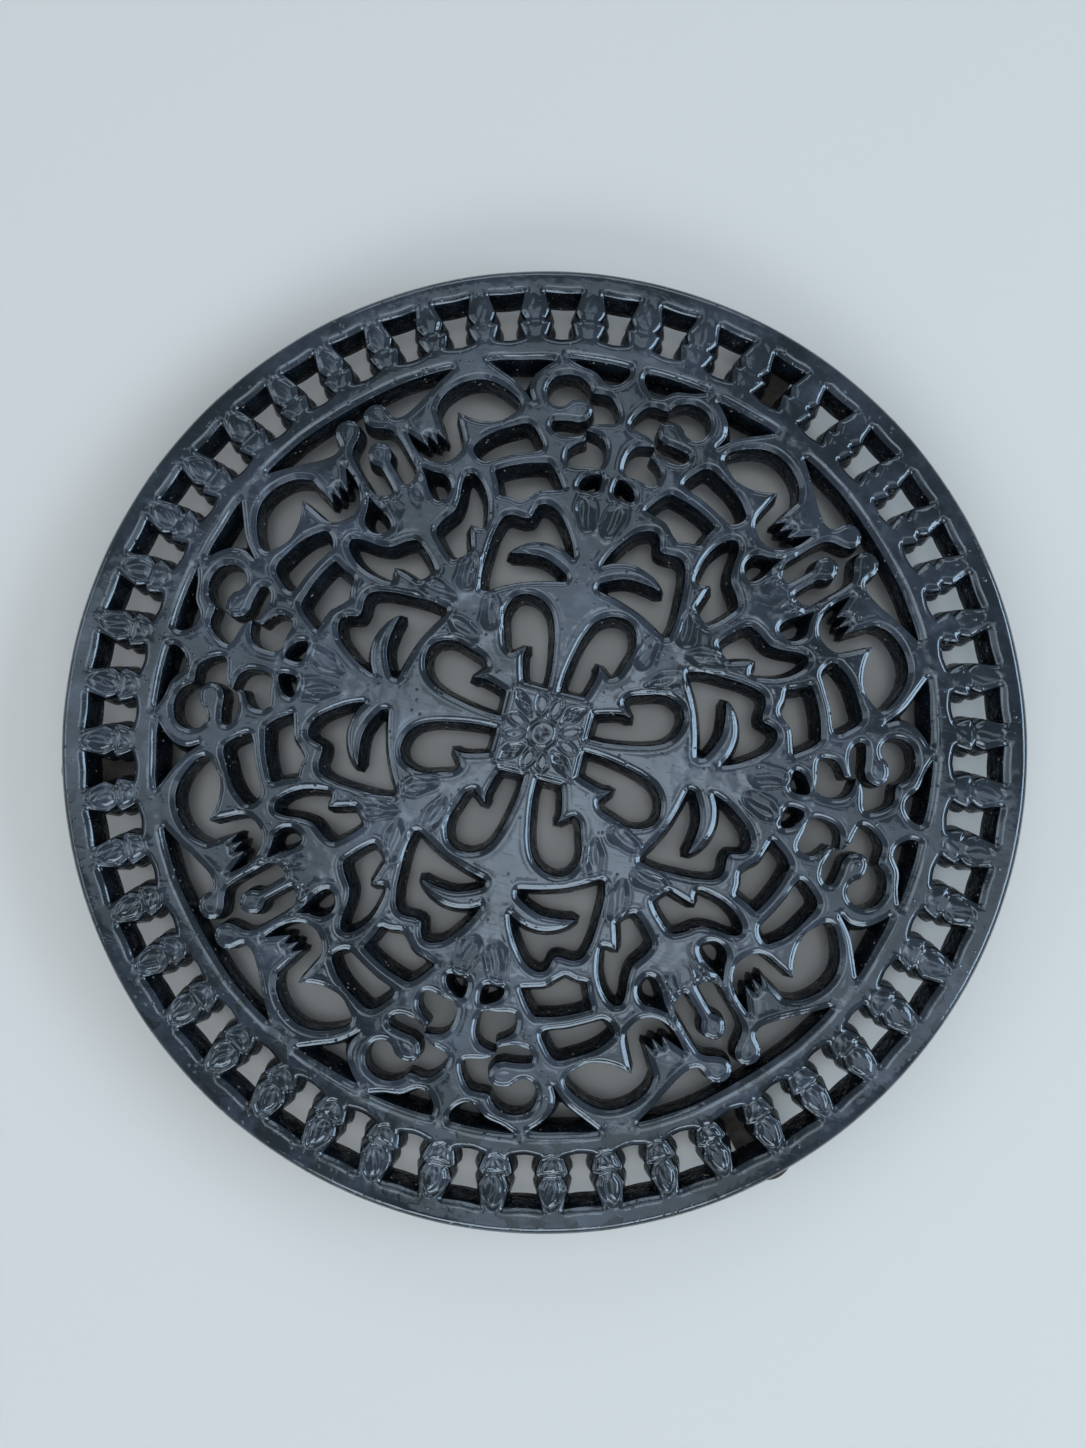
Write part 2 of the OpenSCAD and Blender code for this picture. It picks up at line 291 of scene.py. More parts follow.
class Edges:  # nearest distance to a set of rings
    def __init__(self, rings):
        starts = [evenly(ring, plate["measureStep"]) for ring in rings]
        self.a = np.vstack(starts)
        self.b = np.vstack([np.roll(s, -1, axis=0) for s in starts])
        self.before = np.concatenate([np.roll(np.arange(len(s)), 1) for s in starts])
        base = np.cumsum([0] + [len(s) for s in starts[:-1]])
        self.before += np.repeat(base, [len(s) for s in starts])
        self.tree = kdtree.KDTree(len(self.a))
        for i, (x, y) in enumerate(self.a.tolist()):
            self.tree.insert((x, y, 0), i)
        self.tree.balance()

    def away(self, points):
        find = self.tree.find
        near = np.array([find((x, y, 0))[1] for x, y in points.tolist()], dtype=np.int64)
        best = np.full(len(points), np.inf)
        for pick in (near, self.before[near]):
            a, d = self.a[pick], self.b[pick] - self.a[pick]
            s = ((points - a) * d).sum(axis=1) / np.maximum((d * d).sum(axis=1), 1e-12)
            foot = a + d * np.clip(s, 0, 1)[:, None]
            best = np.minimum(best, np.linalg.norm(points - foot, axis=1))
        return best


def hexGrid(reach, step):
    rows = np.arange(-int(reach / (step * rowShare)), int(reach / (step * rowShare)) + 1)
    cols = np.arange(-int(reach / step), int(reach / step) + 1)
    x, y = np.meshgrid(cols * step, rows * step * rowShare)
    x = x + (rows[:, None] % 2) * step / 2
    return np.column_stack([x.ravel(), y.ravel()])


def ramp(v, low, high):
    s = np.clip((v - low) / (high - low), 0, 1)
    return s * s * (3 - 2 * s)


def bump(v, wide):
    return np.exp(-((v / wide) ** 2))


def lens(x, y, length, width):  # below zero inside a pointed leaf that lies along x
    r = (length * length + width * width) / (4 * width)
    return np.maximum(np.hypot(x, y - (r - width / 2)), np.hypot(x, y + (r - width / 2))) - r


def turned(p, degrees):
    c, s = math.cos(math.radians(degrees)), math.sin(math.radians(degrees))
    return np.column_stack([p[:, 0] * c + p[:, 1] * s, p[:, 1] * c - p[:, 0] * s])


def waves(p, size, seed):  # slow unevenness between -1 and 1, from seven sines
    total = np.zeros(len(p))
    for k in range(7):
        way = seed * 1.7 + k * 2.399
        rate = 2 * math.pi / size * (0.6 + 0.17 * k)
        along = p[:, 0] * math.cos(way) + p[:, 1] * math.sin(way)
        total += np.sin(rate * along + seed * 3.1 + k * 1.3)
    return total / 4.2


def wavy(p, deep, size, seed):  # the same, between 0 and twice a depth
    return deep * (1 + waves(p, size, seed))


def crowned(s, line, form):  # raised form in a groove, with a fold along a line
    deep, wide = form["groove"]
    groove = deep * bump(s + 0.1, wide)
    deep, start, reach = form["crown"]
    crown = deep * (1 - ramp(-s, 0.0, reach)) * ramp(-s, start, 0.2)
    deep, wide, reach = form["fold"]
    return groove + crown + deep * bump(line, wide) * ramp(-s, 0.3, reach)


def dent(x, y, length, width, deep, seed):  # hollow with ridges along its floor and a proud brim
    across = y * (1 + 0.5 * np.sin(seed) * x / length)
    s = (np.hypot(x / length, across / width) - 0.5) * width + 0.14 * np.sin(x * 1.2 + seed)
    hollow = ramp(-s, -0.4, 0.8)
    swing = np.sin(y * 2.6 + 0.8 * np.sin(x * 0.7 + seed) + seed * 2)
    ridges = relief["ridges"] * swing * ramp(-s, 0.1, 0.9)
    high, out, wide = relief["brim"]
    return deep * hollow * (1 + ridges) - high * bump(s - out, wide)


def carveRibs(sink, p, r, bearings):  # cup and pointed leaf on every rib of the border
    bearing = np.degrees(np.arctan2(p[:, 1], p[:, 0]))
    after = np.roll(bearings, -1)
    mids = (bearings + after + np.where(after < bearings, 360, 0)) / 2
    low, high, spread = relief["ribZone"]
    mean, swing, turn = relief["crisp"]
    leaf, cup = relief["leaf"], relief["cup"]
    for k, mid in enumerate(mids):  # sines of k keep the ribs from being alike
        apart = np.abs((bearing - mid + 180) % 360 - 180)
        at = np.where((apart < spread) & (r > low) & (r < high))[0]
        q = turned(p[at], mid)
        w = q - (leaf["out"] + 0.25 * math.sin(k * 2.7), 0.2 * math.sin(k * 1.9))
        w = turned(w, 8 * math.sin(k * 3.3))
        width = leaf["width"] * (1 + 0.07 * math.sin(k * 4.1))
        s = np.maximum(lens(w[:, 0], w[:, 1], leaf["length"], width), leaf["blunt"] - q[:, 0])
        leafSink = crowned(s, w[:, 1] + 0.8 * np.sin(w[:, 0] * 0.6 + k), leaf)
        x, y = cup["out"] - q[:, 0] + 0.15 * math.sin(k * 1.7), q[:, 1]
        s = np.maximum((np.hypot(x / cup["deep"], y / cup["half"]) - 1) * cup["half"], -x)
        line = y * (1 if k % 2 else -1) - 0.5 * x + 0.3 + 0.5 * math.sin(k * 2.3)
        crisp = mean + swing * math.cos(math.radians(mid + turn))
        sink[at] += crisp * (leafSink + crowned(s, line, cup))


def carveLeaves(sink, p):  # leaves and finger marks beside the diagonals
    for k in range(4):
        for side in (1, -1):
            q = turned(p, 90 * k + 45)
            q[:, 1] *= side
            for n, (x, y, length, width, turn) in enumerate(relief["dents"]):
                at = np.where(np.hypot(q[:, 0] - x, q[:, 1] - y) < length * 0.8)[0]
                w = turned(q[at] - (x, y), turn + 7 * math.sin(k * 2.9 + n + side))
                seed = k * 2.1 + n + side
                sink[at] += dent(w[:, 0], w[:, 1], length, width, relief["dentDepth"], seed)
            for x, y, length, width, turn in relief["scratches"]:
                at = np.where(np.hypot(q[:, 0] - x, q[:, 1] - y) < length)[0]
                w = turned(q[at] - (x, y), turn)
                sink[at] += dent(w[:, 0], w[:, 1], length, width, relief["scratchDepth"], k + side)


def carveFlower(sink, p, r):  # button, four deep petals and the lobes between them
    at = np.where(r < relief["flowerZone"])[0]
    wander = np.column_stack([waves(p[at], 7, 8), waves(p[at], 7, 9)])
    c = p[at] + relief["flowerWander"] * wander
    rc = np.hypot(c[:, 0], c[:, 1])
    radius, deep, wide = relief["button"]
    sink[at] += deep * bump(rc - radius - 0.3 - 0.25 * waves(c, 7, 4), wide)
    deep, wide = relief["dimple"]
    sink[at] += deep * bump(rc - 0.3, wide) * (1 + 0.6 * waves(c, 2.4, 3))
    for k in range(4):
        mid, length, width = relief["petal"]
        q = turned(c, 90 * k + 45)
        s = lens(q[:, 0] - mid, q[:, 1], length, width)
        ridges = 0.25 * np.sin(q[:, 0] * 2.1 + k) * np.sin(q[:, 1] * 2.7 + k)
        high, out, wide = relief["petalBrim"]
        hollow = ramp(-s, -0.15, 1.1) * (1 + ridges)
        sink[at] += relief["petalDepth"] * hollow - high * bump(s - out, wide)
        mid, length, width, turn = relief["lobe"]
        deep, wide = relief["lobeGroove"]
        for side in (1, -1):
            q = turned(c, 90 * k + side * turn)
            s = lens(q[:, 0] - mid, q[:, 1], length, width)
            sink[at] += deep * bump(s + 0.1, wide) + relief["lobeSink"] * ramp(-s, 0.3, 1.0)


def sunkBy(p, bearings):  # how far the top lies below its highest level
    r = np.hypot(p[:, 0], p[:, 1])
    sink = np.zeros(len(p))
    line = relief["rimLine"]
    square = np.maximum(np.abs(p[:, 0]), np.abs(p[:, 1])) - relief["squareHalf"]
    openwork = 1 - ramp(r, line - relief["rimEase"], line)
    sink += relief["fieldSink"] * ramp(square, *relief["squareEase"]) * openwork
    deep, out, wide = relief["rimGroove"]
    sink += deep * bump(r - line - out, wide)
    carveRibs(sink, p, r, bearings)
    carveLeaves(sink, p)
    carveFlower(sink, p, r)
    sink += sum(wavy(p, *part) for part in relief["unevenness"])
    return np.maximum(sink, relief["least"])


def isCarved(p):  # where the relief needs close points
    r = np.hypot(p[:, 0], p[:, 1])
    low, high = relief["ribPoints"]
    carved = (r < relief["flowerPoints"]) | ((r > low) & (r < high))
    for k in range(4):
        q = turned(p, 90 * k + 45)
        for side in (1, -1):
            for x, y, length, width, turn in relief["dents"] + relief["scratches"]:
                carved |= np.hypot(q[:, 0] - x, q[:, 1] * side - y) < length * 0.6
    return carved


def rolled(d, reach, drop):  # drop of a rounded edge at a distance from it
    return drop * np.clip(1 - d / reach, 0, 1) ** 2


def numbered(rings):  # numbers of each ring's points, one ring after the other
    base = np.cumsum([0] + [len(p) for p in rings])
    return [list(range(a, b)) for a, b in zip(base[:-1], base[1:])]


def trianglesBetween(points, outer, holes):  # rings given as numbers of their points
    made = delaunay_2d_cdt([Vector(p) for p in points.tolist()], [], [outer] + holes, 1, 1e-5)
    spots, faces, inputs, owners = made[0], made[2], made[3], made[5]
    inputOf = [v[0] if v else -1 for v in inputs]
    fresh = [i for i, v in enumerate(inputOf) if v < 0]
    if fresh:  # where two rings cross, a point is added
        points = np.vstack([points, [spots[i] for i in fresh]])
        for k, i in enumerate(fresh):
            inputOf[i] = len(points) - len(fresh) + k
    merged = {v: whole[0] for whole in inputs for v in whole[1:]}
    tris = [[inputOf[v] for v in face] for face, owner in zip(faces, owners) if owner == [0]]
    return points, np.array(tris, dtype=np.int64), merged


class Shell:  # points and triangles of one mesh, gathered part by part
    def __init__(self):
        self.points, self.faces, self.count = [], [], 0

    def add(self, flat, z):  # points at one height, or at a height each; gives their numbers
        self.points.append(np.column_stack([flat, np.broadcast_to(z, len(flat))]))
        self.count += len(flat)
        return np.arange(self.count - len(flat), self.count)

    def join(self, one, two, flipped=False):  # strip between two rings of as many points
        b, c = np.roll(one, -1), np.roll(two, -1)
        halves = ((one, two, c), (one, c, b)) if flipped else ((one, b, c), (one, c, two))
        self.faces += [np.column_stack(half) for half in halves]

    def faceCount(self):
        return sum(len(f) for f in self.faces)


def readOpenings(mesh):  # smoothed outlines of the openings, and the bearings of the windows
    spots, tri = welded(mesh)
    onTop = np.abs(spots[:, 2] - round(plate["topZ"] / milli)) <= 2
    low = spots[np.abs(spots[:, 2] - round(plate["underZ"] / milli)) <= 2]
    under = {(x, y) for x, y, z in low.tolist()}
    openings, bearings = [], []
    for ring in chained(openEdges(tri[onTop[tri].all(axis=1)])):
        shared = sum((x, y) in under for x, y in spots[ring, :2].tolist())
        p = spots[ring, :2] * milli
        spread = np.hypot(p[:, 0], p[:, 1])
        if shared < 0.5 * len(ring) or spread.min() > plate["radius"] - plate["rimZone"]:
            continue  # carved marks and the rim itself
        p = smoothRing(p if area(p) > 0 else p[::-1])
        openings.append(p)
        if spread.min() > plate["windowsFrom"]:
            x, y = p.mean(axis=0)
            bearings.append(math.degrees(math.atan2(y, x)))
    print("openings", len(openings), "of them windows", len(bearings))
    return openings, np.sort(bearings)


def topPoints(openings, near):  # rows along the edges, a grid, and a finer one where it is carved
    inner = plate["radius"] - plate["rimRound"]
    made = []
    for reach in plate["edgeRings"]:
        for p in openings:
            q = p - inwards(p) * reach
            made.append(q[near.away(q) > plate["ownShare"] * reach])
    grid = hexGrid(plate["radius"], plate["gridStep"])
    made.append(grid[near.away(grid) > plate["edgeRings"][-1] + plate["clearance"]])
    fine = hexGrid(plate["radius"], plate["fineStep"])
    fine = fine[isCarved(fine)]
    made.append(fine[near.away(fine) > plate["clearance"]])
    made = np.vstack(made)
    free = np.hypot(made[:, 0], made[:, 1]) < inner - plate["rimClearance"]
    for p in openings:
        free[insideRing(made, p)] = False
    return made[free]


def addTop(shell, rim, openings, bearings):  # carved face; gives the edge of every opening
    near = Edges(openings)
    rings = [rim] + openings
    ringIds = numbered(rings)
    flat = np.vstack(rings + [topPoints(openings, near)])
    flat, tris, merged = trianglesBetween(flat, ringIds[0], ringIds[1:])
    away = near.away(flat)
    away[len(rim) : sum(len(p) for p in rings)] = 0
    deep, out, wide = relief["lip"]
    mean, swing, size, seed = relief["lipShare"]
    inField = 1 - ramp(np.hypot(flat[:, 0], flat[:, 1]), *relief["lipEnd"])
    lip = deep * bump(away - out, wide) * inField * (mean + swing * waves(flat, size, seed))
    high = plate["topZ"] - rolled(away, plate["edgeRoll"], plate["edgeDrop"])
    high = high - sunkBy(flat, bearings) * ramp(away, 0, relief["edgeEase"]) - np.maximum(lip, 0)
    high[: len(rim)] = plate["topZ"] - sunkBy(rim, bearings)
    shell.add(flat, high)
    shell.faces.append(tris)
    print("top", len(tris), "triangles")
    return [np.array([merged.get(v, v) for v in ids]) for ids in ringIds[1:]]


def addWall(shell, ids, p):  # side of an opening: narrows on the way down, then rolls under
    n = inwards(p)
    circles = circleSizes(p, n)
    for taper in plate["tapers"]:
        if narrowed(p, n, circles, taper)[1] < plate["cornerGap"]:
            break
    under = min(plate["underRoll"], 0.5 * taper)
    upper, lower, rows = plate["topZ"] - plate["edgeDrop"], plate["underZ"] + under, plate["wallRows"]
    path = [(taper * k / rows, upper + (lower - upper) * k / rows) for k in range(1, rows + 1)]
    bend = under * (1 - 0.71)  # halfway round the lower edge
    path += [(taper - bend, plate["underZ"] + bend), (taper - under, plate["underZ"])]
    for inset, z in path:
        flat = narrowed(p, n, circles, inset)[0]
        fresh = shell.add(flat, z)
        shell.join(ids, fresh)
        ids = fresh
    return ids, flat


def addRim(shell, ids, circle):  # outer side, rounded above and below
    r, big, top, low = plate["rimRound"], plate["radius"], plate["topZ"], plate["underZ"]
    angles = [math.radians(a) for a in plate["shoulderAngles"]]
    profile = [(big - r + r * math.sin(a), top - r + r * math.cos(a)) for a in angles]
    profile += [(big, low + r)]
    angles = [math.radians(a) for a in plate["lowerAngles"]]
    profile += [(big - r + r * math.cos(a), low + r - r * math.sin(a)) for a in angles]
    wander = wavy(circle * big, *plate["rimWander"])
    dip = wavy(circle * big, *plate["rimDip"])
    for far, z in profile:
        far = far - plate["rimInset"] - wander * (far > big - r + 0.1)
        flat = circle * far[:, None]
        fresh = shell.add(flat, z - dip * (z > top - 1))
        shell.join(ids, fresh, flipped=True)
        ids = fresh
    return ids, flat


def addUnderside(shell, outer, holes):  # flat face; each ring comes as numbers and places
    rings = [outer[1]] + [flat for ids, flat in holes]
    keys = np.concatenate([outer[0]] + [ids for ids, flat in holes])
    reach = plate["radius"] - plate["underMargin"]
    grid = hexGrid(reach, plate["underStep"])
    clear = Edges(rings[1:]).away(grid) > plate["underClearance"]
    for flat in rings[1:]:
        clear[insideRing(grid, flat)] = False
    grid = grid[clear & (np.hypot(grid[:, 0], grid[:, 1]) < reach)]
    ringIds = numbered(rings)
    flat, tris, merged = trianglesBetween(np.vstack(rings + [grid]), ringIds[0], ringIds[1:])
    fresh = shell.add(flat[len(keys) :], plate["underZ"])
    shell.faces.append(np.concatenate([keys, fresh])[tris][:, ::-1])
    print("underside", len(tris), "triangles")


# bars cast under the rim, inside the boots
lugs = {
    "bearings": (-47, 73, 199),
    "middle": 110.9,
    "length": 8.6,
    "width": 2.6,
    "lowZ": 3.0,
    "highZ": 8.0,
    "ease": 0.4,
    "easeShare": 0.3,
    "step": 0.6,
}


def addLug(shell, bearing):  # short bar under the rim that the boot is pressed over
    half, r = (lugs["length"] - lugs["width"]) / 2, lugs["width"] / 2
    outline = []
    for side, start in ((1, -90), (-1, 90)):
        for a in range(start, start + 181, 10):
            x, y = r * math.cos(math.radians(a)), r * math.sin(math.radians(a))
            outline.append((side * half + x, y))
    outline = turned(evenly(np.array(outline), lugs["step"]), -90) + (lugs["middle"], 0)
    low, high, ease = lugs["lowZ"], lugs["highZ"], lugs["ease"]
    part = lugs["easeShare"] * ease
    levels = [(ease, low), (part, low + part), (0, low + ease)]
    levels += [(0, high - ease), (part, high - part), (ease, high)]
    rings = []
    for inset, z in levels:
        rings.append(shell.add(turned(outline + inwards(outline) * inset, -bearing), z))
    for one, two in zip(rings, rings[1:]):
        shell.join(one, two)
    centre = turned(outline.mean(axis=0)[None, :], -bearing)
    below, above = shell.add(centre, low), shell.add(centre, high)
    first, last = rings[0], rings[-1]
    shell.faces.append(np.column_stack([np.roll(first, -1), first, np.repeat(below, len(first))]))
    shell.faces.append(np.column_stack([last, np.roll(last, -1), np.repeat(above, len(last))]))


def meshObject(name, shell):  # smooth-shaded triangles
    verts, faces = np.vstack(shell.points), np.vstack(shell.faces)
    mesh = bpy.data.meshes.new(name)
    mesh.vertices.add(len(verts))
    mesh.vertices.foreach_set("co", (verts * milli).ravel())
    mesh.loops.add(len(faces) * 3)
    mesh.loops.foreach_set("vertex_index", faces.astype(np.int32).ravel())
    mesh.polygons.add(len(faces))
    mesh.polygons.foreach_set("loop_start", np.arange(len(faces), dtype=np.int32) * 3)
    mesh.polygons.foreach_set("use_smooth", np.ones(len(faces), dtype=bool))
    mesh.update(calc_edges=True)
    mesh.validate()
    made = bpy.data.objects.new(name, mesh)
    bpy.context.scene.collection.objects.link(made)
    return made


openings, bearings = readOpenings(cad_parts["casting"].data)
inner = plate["radius"] - plate["rimRound"]
count = int(2 * math.pi * inner / plate["rimStep"])
around = np.arange(count) * 2 * math.pi / count
circle = np.column_stack([np.cos(around), np.sin(around)])

# one closed shell, and a lug for each boot
shell = Shell()
edges = addTop(shell, circle * inner, openings, bearings)
wallFaces = [shell.faceCount()]
feet = [addWall(shell, ids, p) for ids, p in zip(edges, openings)]
wallFaces.append(shell.faceCount())
outer = addRim(shell, np.arange(count), circle)
addUnderside(shell, outer, feet)
for bearing in lugs["bearings"]:
    addLug(shell, bearing)
ironPlate = meshObject("ironPlate", shell)
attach(ironPlate, "root")
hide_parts("casting")
print("plate dressed,", shell.faceCount(), "triangles")


# finishes; each noise is scale, detail, roughness and the span of it that is used
enamel = {
    "clouds": (48, 5, 0.66, 0.38, 0.66),
    "streaks": (130, 3, 0.6, 0.5, 0.7),
    "deep": (0.006, 0.009, 0.013, 1),
    # the next two colours lighten the top in clouds: a painted sheen, and haze that is partly painted
    # sheen
    "paintedSheen": (0.024, 0.031, 0.043, 1),
    "hazeAndSheen": (0.045, 0.056, 0.075, 1),
    "patches": (150, 2, 0.5, 0.52, 0.57),
    "nearSide": (0.05, -0.10, 0.15, 1),  # across the plate: from, to, least, most
    "onRim": (0.088, 0.096),
    # near-black colour of the dull patches: wear, with painted shade for the reflection they lose
    "wornAndShaded": (0.001, 0.002, 0.003, 1),
    "wornRoughness": 0.12,
    "smears": (75, 4, 0.6, 0.3, 0.75),
    "roughness": (0.10, 0.22),
    "ripples": (190, 2, 0.5),
    "rippleBump": (0.11, 0.001),  # strength, depth
    "lines": (90.0, 3.0, 0.6),
    "lineTurn": (0, 0, 0.6),
    "lineStretch": (1, 14, 1),
    "lineSpan": (0.60, 0.64),
    "lineBump": (0.10, 0.0002),
    "dots": 520.0,
    "dotSpan": (0.0, 0.26),
    "dotPlaces": (170, 2, 0.5, 0.50, 0.62),
    "dotBump": (0.5, 0.0004),
    "wornBump": (0.16, 0.0002),
    "specularTint": (0.70, 0.86, 1.0, 1),
    "ior": 1.55,
    "coatWeight": 0.5,
    "coatRoughness": 0.05,
    "coatIor": 1.5,
}

walls = {
    "clouds": (120, 4, 0.6, 0.4, 0.7),
    # the walls' colour: a darker copy of the enamel painted as shade, mottled with a painted sheen
    "dark": (0.002, 0.003, 0.004, 1),
    "paintedSheen": (0.006, 0.009, 0.014, 1),
    # pale specks painted on the walls as glints
    "glintSize": 480.0,
    "glintSpan": (0.10, 0.17),
    "glintPlaces": (220, 2, 0.5, 0.5, 0.56),
    "paintedGlint": (0.26, 0.23, 0.19, 1),
    "smears": (260, 3, 0.6, 0.35, 0.7),
    "roughness": (0.18, 0.45),
    "pits": 620.0,
    "pitSpan": (0.05, 0.3),
    "pitBump": (0.9, 0.0006),
    "lumps": (330, 3, 0.6),
    "lumpBump": (0.6, 0.0012),
    "gloss": 0.2,
}

rubber = {
    "dust": (160, 4, 0.6, 0.45, 0.75),
    "dark": (0.022, 0.016, 0.013, 1),
    "dusty": (0.055, 0.045, 0.038, 1),
    "smears": (300, 3, 0.5, 0.3, 0.7),
    "roughness": (0.55, 0.8),
    "grain": (1400, 3, 0.6),
    "grainBump": (0.25, 0.0003),
    "gloss": 0.35,
}


class Nodes:  # shorthand for one material's node tree
    def __init__(self, name):
        self.material = bpy.data.materials.new(name)
        self.material.use_nodes = True
        self.tree = self.material.node_tree
        self.shader = self.tree.nodes["Principled BSDF"]

    def put(self, socket, value):
        if isinstance(value, bpy.types.NodeSocket):
            self.tree.links.new(value, socket)
        else:
            socket.default_value = value

    def feed(self, socket, value):
        self.put(self.shader.inputs[socket], value)

    def add(self, kind, inputs=None, **settings):
        made = self.tree.nodes.new(kind)
        for key, value in settings.items():
            setattr(made, key, value)
        for key, value in (inputs or {}).items():
            self.put(made.inputs[key], value)
        return made

    def place(self):
        return self.add("ShaderNodeTexCoord").outputs["Object"]

    def noise(self, scale, detail, rough, place=None):
        place = self.place() if place is None else place
        inputs = {"Vector": place, "Scale": scale, "Detail": detail, "Roughness": rough}
        return self.add("ShaderNodeTexNoise", inputs).outputs["Fac"]

    def cells(self, scale):  # distance to the nearest of many scattered points
        inputs = {"Vector": self.place(), "Scale": scale, "Randomness": 1.0}
        return self.add("ShaderNodeTexVoronoi", inputs).outputs["Distance"]

    def between(self, value, low, high, start=0, end=1):
        inputs = {"Value": value, "From Min": low, "From Max": high, "To Min": start, "To Max": end}
        return self.add("ShaderNodeMapRange", inputs, interpolation_type="SMOOTHSTEP").outputs["Result"]

    def patchy(self, scale, detail, rough, low, high, start=0, end=1):
        return self.between(self.noise(scale, detail, rough), low, high, start, end)

    def colours(self, share, first, second):
        made = self.add("ShaderNodeMix", data_type="RGBA")
        self.put(made.inputs["Factor"], share)
        for key, value in (("A", first), ("B", second)):
            self.put([s for s in made.inputs if s.name == key and s.type == "RGBA"][0], value)
        return [s for s in made.outputs if s.type == "RGBA"][0]

    def math(self, how, a, b):
        return self.add("ShaderNodeMath", {0: a, 1: b}, operation=how).outputs[0]

    def bumped(self, height, strength, depth, below=None):
        inputs = {"Height": height, "Strength": strength, "Distance": depth}
        if below is not None:
            inputs["Normal"] = below
        return self.add("ShaderNodeBump", inputs).outputs["Normal"]


def enamelMaterial():
    n = Nodes("blackEnamel")
    clouds = n.patchy(*enamel["clouds"])
    streaks = n.patchy(*enamel["streaks"])
    # dull worn patches on the rim, thickest towards the near edge; their near-black colour is painted
    # shade for the reflection they lose
    across = n.add("ShaderNodeSeparateXYZ", {"Vector": n.place()}).outputs["Y"]
    far = n.add("ShaderNodeVectorMath", {0: n.place()}, operation="LENGTH").outputs["Value"]
    wornAndShaded = n.math("MULTIPLY", n.patchy(*enamel["patches"]), n.between(far, *enamel["onRim"]))
    wornAndShaded = n.math("MULTIPLY", wornAndShaded, n.between(across, *enamel["nearSide"]))
    # mottled top colour: clouds of painted sheen, then streaks of haze that is partly painted sheen
    mottled = n.colours(clouds, enamel["deep"], enamel["paintedSheen"])
    base = n.colours(n.math("MULTIPLY", streaks, clouds), mottled, enamel["hazeAndSheen"])
    n.feed("Base Color", n.colours(wornAndShaded, base, enamel["wornAndShaded"]))
    smears = n.patchy(*enamel["smears"], *enamel["roughness"])
    n.feed("Roughness", n.math("ADD", smears, n.math("MULTIPLY", wornAndShaded, enamel["wornRoughness"])))
    # ripples, fine scratches and pimples
    turn, stretch = enamel["lineTurn"], enamel["lineStretch"]
    stretched = n.add("ShaderNodeMapping", {"Vector": n.place(), "Rotation": turn, "Scale": stretch})
    lines = n.noise(*enamel["lines"], stretched.outputs["Vector"])
    scratches = n.between(lines, *enamel["lineSpan"])
    dots = n.between(n.cells(enamel["dots"]), *enamel["dotSpan"], 1, 0)
    pimples = n.math("MULTIPLY", dots, n.patchy(*enamel["dotPlaces"]))
    finish = n.bumped(n.noise(*enamel["ripples"]), *enamel["rippleBump"])
    finish = n.bumped(scratches, *enamel["lineBump"], finish)
    finish = n.bumped(pimples, *enamel["dotBump"], finish)
    finish = n.bumped(wornAndShaded, *enamel["wornBump"], finish)
    n.feed("Normal", finish)
    n.feed("IOR", enamel["ior"])
    n.feed("Specular Tint", enamel["specularTint"])
    n.feed("Coat Weight", enamel["coatWeight"])
    n.feed("Coat Roughness", enamel["coatRoughness"])
    n.feed("Coat IOR", enamel["coatIor"])
    n.feed("Coat Normal", finish)
    return n.material


def wallMaterial():  # the same enamel, thin and pitted down the sides of the openings, its colour painted darker as shade and mottled with a painted sheen
    n = Nodes("blackEnamelWalls")
    # painted shade and painted sheen, mixed in clouds
    coat = n.colours(n.patchy(*walls["clouds"]), walls["dark"], walls["paintedSheen"])
    # pale specks painted as glints
    specks = n.between(n.cells(walls["glintSize"]), *walls["glintSpan"], 1, 0)
    specks = n.math("MULTIPLY", specks, n.patchy(*walls["glintPlaces"]))
    n.feed("Base Color", n.colours(specks, coat, walls["paintedGlint"]))
    n.feed("Roughness", n.patchy(*walls["smears"], *walls["roughness"]))
    pits = n.between(n.cells(walls["pits"]), *walls["pitSpan"], 1, 0)
    lumps = n.bumped(n.noise(*walls["lumps"]), *walls["lumpBump"])
    n.feed("Normal", n.bumped(pits, *walls["pitBump"], lumps))
    n.feed("Specular IOR Level", walls["gloss"])
    n.feed("Specular Tint", enamel["specularTint"])
    return n.material


def rubberMaterial():
    n = Nodes("bootRubber")
    n.feed("Base Color", n.colours(n.patchy(*rubber["dust"]), rubber["dark"], rubber["dusty"]))
    n.feed("Roughness", n.patchy(*rubber["smears"], *rubber["roughness"]))
    n.feed("Normal", n.bumped(n.noise(*rubber["grain"]), *rubber["grainBump"]))
    n.feed("Specular IOR Level", rubber["gloss"])
    return n.material


ironPlate.data.materials.append(enamelMaterial())
ironPlate.data.materials.append(wallMaterial())
finishOf = np.zeros(len(ironPlate.data.polygons), dtype=np.int32)
finishOf[wallFaces[0] : wallFaces[1]] = 1
ironPlate.data.polygons.foreach_set("material_index", finishOf)
bootRubber = rubberMaterial()
for node in ("rubber_foot_1", "rubber_foot_2", "rubber_foot_3"):
    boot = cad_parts[node]
    if not boot.data.materials:
        boot.data.materials.append(bootRubber)
    for s in boot.material_slots:
        s.material = bootRubber
print("finishes on")


# table and light
table = {"half": 4.0, "colour": (0.60, 0.59, 0.57, 1), "roughness": 0.9, "gloss": 0.1}

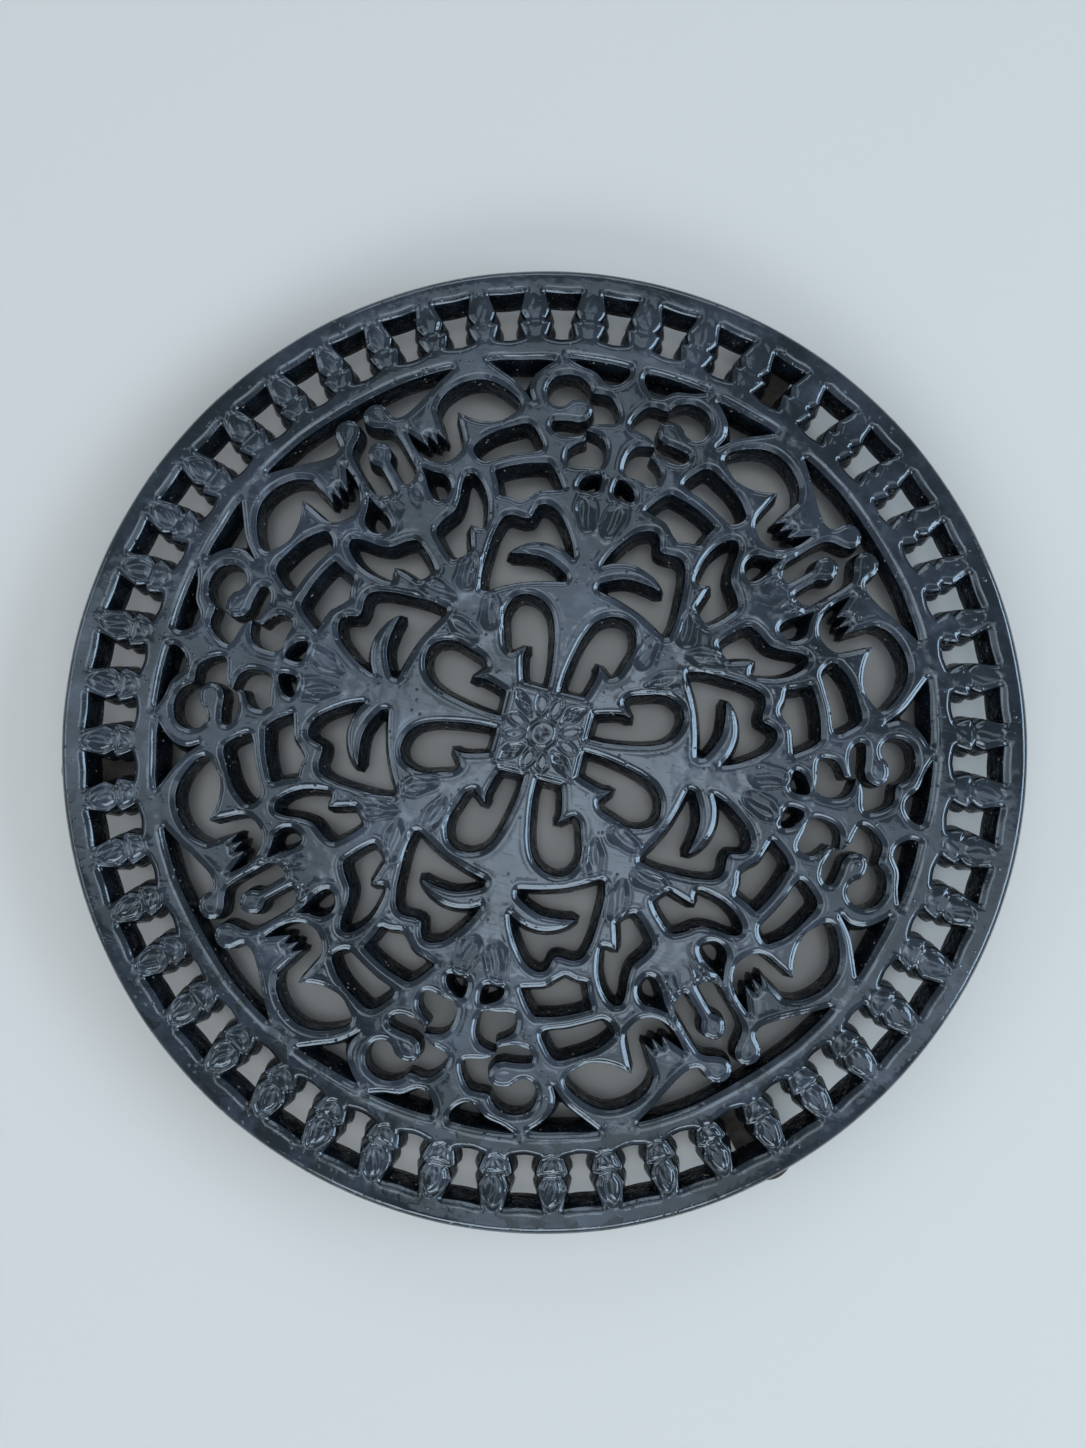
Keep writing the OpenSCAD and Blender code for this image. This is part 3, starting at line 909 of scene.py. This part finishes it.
floorMesh = bpy.data.meshes.new("paleTable")
h = table["half"]
floorMesh.from_pydata([(-h, -h, 0), (h, -h, 0), (h, h, 0), (-h, h, 0)], [], [(0, 1, 2, 3)])
floorObject = bpy.data.objects.new("paleTable", floorMesh)
bpy.context.scene.collection.objects.link(floorObject)
pale = Nodes("paleTable")
pale.feed("Base Color", table["colour"])
pale.feed("Roughness", table["roughness"])
pale.feed("Specular IOR Level", table["gloss"])
floorMesh.materials.append(pale.material)

light = {
    "room": (0.80, 0.90, 1.0, 1),
    "roomStrength": 0.28,
    "panels": (-0.46, 0.02, 0.50),  # overhead, side by side
    "panelY": -0.06,
    "panelZ": 1.0,
    "panel": (0.39, 1.4, 1.85, (0.86, 0.94, 1.0)),  # width, length, power, colour
    "windowReach": 1.9,
    "windows": (  # bearing, elevation, width, height, power, colour
        (12, 30, 1.67, 0.56, 22.0, (0.66, 0.84, 1.0)),
        (-78, 32, 1.67, 0.60, 16.5, (0.84, 0.93, 1.0)),
        (192, 30, 1.37, 0.61, 5.1, (0.84, 0.92, 1.0)),
        (104, 32, 1.37, 0.61, 5.5, (0.84, 0.92, 1.0)),
    ),
}

world = bpy.data.worlds.new("softRoom")
world.use_nodes = True
world.node_tree.nodes["Background"].inputs["Color"].default_value = light["room"]
world.node_tree.nodes["Background"].inputs["Strength"].default_value = light["roomStrength"]
bpy.context.scene.world = world


def softBox(name, place, width, height, power, colour):  # soft lamp that faces the trivet
    data = bpy.data.lights.new(name, "AREA")
    data.shape = "RECTANGLE"
    data.size = width
    data.size_y = height
    data.energy = power
    data.color = colour
    lamp = bpy.data.objects.new(name, data)
    lamp.location = place
    lamp.rotation_euler = (-Vector(place)).to_track_quat("-Z", "Y").to_euler()
    bpy.context.scene.collection.objects.link(lamp)


for x in light["panels"]:
    softBox("overheadBox", (x, light["panelY"], light["panelZ"]), *light["panel"])
for bearing, elevation, *lamp in light["windows"]:
    b, e = math.radians(bearing), math.radians(elevation)
    way = Vector((math.cos(b), math.sin(b), math.tan(e))).normalized()
    softBox("windowBox", way * light["windowReach"], *lamp)

bpy.context.scene.view_settings.view_transform = "Standard"
print("table and light set")
